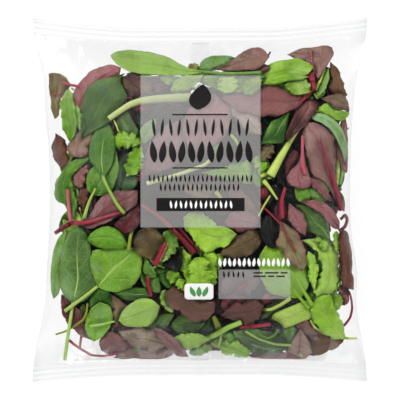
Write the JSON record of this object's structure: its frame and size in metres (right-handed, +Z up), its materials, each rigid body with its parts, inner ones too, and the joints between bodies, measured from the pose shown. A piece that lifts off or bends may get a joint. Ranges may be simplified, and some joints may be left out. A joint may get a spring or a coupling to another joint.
{
  "type": "bag of salad leaves",
  "caption": "Clear pillow bag of mixed salad leaves, sealed flat across both ends, lying on its back with a printed front panel up.",
  "frame": {"origin": "under the middle of the bag, on the surface that it lies on", "axes": "+Z up out of the printed front, +Y towards the top seal, +X to the right of the printed front"},
  "size_m": [0.23, 0.2502, 0.0632],
  "materials": {
    "film": "clear glossy polypropylene film",
    "spinach": "satin green leaf",
    "beet_leaf": "satin dark red leaf with crimson veins",
    "lettuce": "satin light green ruffled leaf",
    "stem": "satin pale green stalk",
    "print_grey": "see-through grey ink",
    "print_black": "solid black ink",
    "print_white": "solid white ink"
  },
  "bodies": {
    "root": {"bag": "film"}
  },
  "joints": []
}
